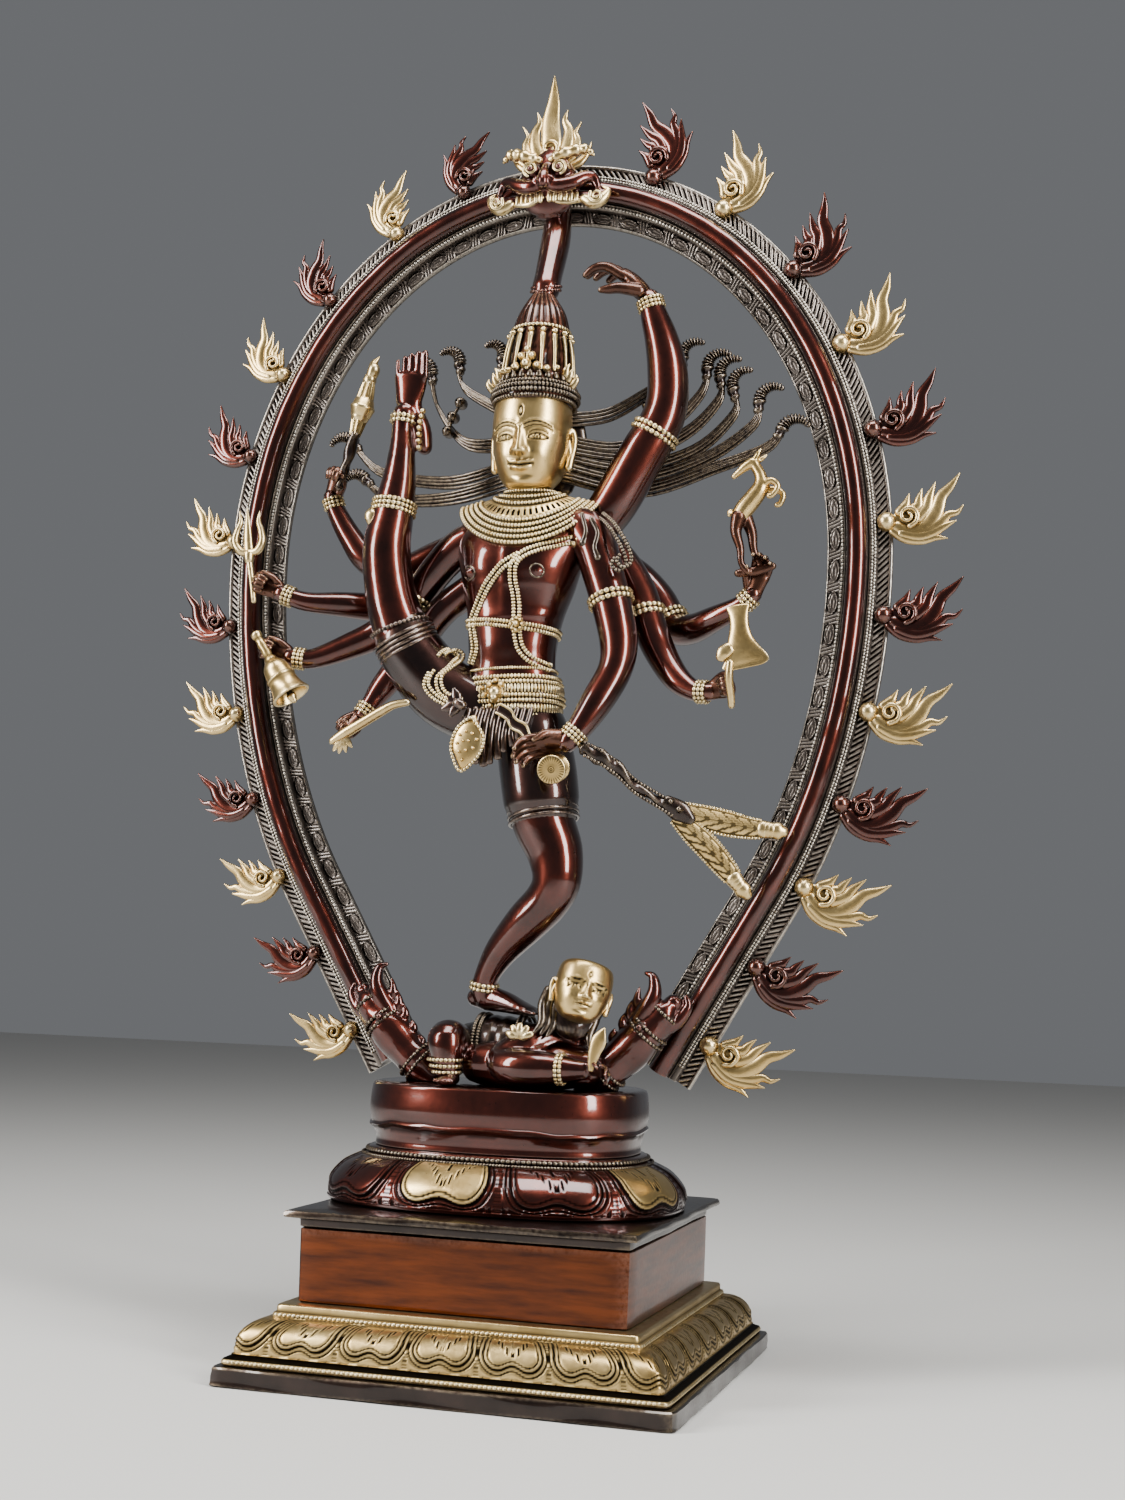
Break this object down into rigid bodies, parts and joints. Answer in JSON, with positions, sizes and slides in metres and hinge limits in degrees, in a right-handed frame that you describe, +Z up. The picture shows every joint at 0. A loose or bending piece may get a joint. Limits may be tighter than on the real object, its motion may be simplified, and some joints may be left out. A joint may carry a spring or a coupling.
{
  "type": "dancing deity statue",
  "caption": "Cast brass dancing deity with a fan of arms, standing on a dwarf inside a horseshoe ring of flames, on an oval lotus seat and a square stepped plinth.",
  "frame": {"origin": "on the floor, under the middle of the square foot plate", "axes": "+Z up; the figure faces -Y; +X is the viewer's right when facing it"},
  "size_m": [0.7139, 0.372, 1.119],
  "materials": {
    "red_brown_brass": "dark red-brown patina, waxed to a gloss",
    "polished_brass": "polished bare brass with dark recesses",
    "dark_brass": "black-brown patina, edges rubbed bright"
  },
  "bodies": {
    "root": {"foot_plate": "dark_brass", "lotus_border": "polished_brass", "plinth_box": "red_brown_brass", "plinth_cap": "dark_brass", "lotus_seat": "red_brown_brass", "dais": "red_brown_brass", "arch_left": "red_brown_brass", "arch_right": "red_brown_brass", "flame_left_01": "red_brown_brass", "flame_left_02": "polished_brass", "flame_left_03": "red_brown_brass", "flame_left_04": "polished_brass", "flame_left_05": "red_brown_brass", "flame_left_06": "polished_brass", "flame_left_07": "red_brown_brass", "flame_left_08": "polished_brass", "flame_left_09": "red_brown_brass", "flame_left_10": "polished_brass", "flame_left_11": "red_brown_brass", "flame_left_12": "polished_brass", "flame_right_01": "red_brown_brass", "flame_right_02": "polished_brass", "flame_right_03": "red_brown_brass", "flame_right_04": "polished_brass", "flame_right_05": "red_brown_brass", "flame_right_06": "polished_brass", "flame_right_07": "red_brown_brass", "flame_right_08": "polished_brass", "flame_right_09": "red_brown_brass", "flame_right_10": "polished_brass", "flame_right_11": "red_brown_brass", "flame_right_12": "polished_brass", "torso": "red_brown_brass", "head": "polished_brass", "crown": "polished_brass", "head_post": "red_brown_brass", "standing_leg": "red_brown_brass", "raised_leg": "red_brown_brass", "arm_left_1": "red_brown_brass", "arm_left_2": "red_brown_brass", "arm_left_3": "red_brown_brass", "arm_left_4": "red_brown_brass", "arm_right_1": "red_brown_brass", "arm_right_2": "red_brown_brass", "arm_right_3": "red_brown_brass", "arm_right_4": "red_brown_brass", "hair_fan": "dark_brass", "dwarf": "red_brown_brass", "makara_left": "red_brown_brass", "makara_right": "red_brown_brass", "kirtimukha": "dark_brass", "torch": "polished_brass", "trident": "polished_brass", "bell": "polished_brass", "bell_clapper": "polished_brass", "club": "polished_brass", "deer": "polished_brass", "axe": "polished_brass", "hide": "dark_brass"}
  },
  "joints": []
}
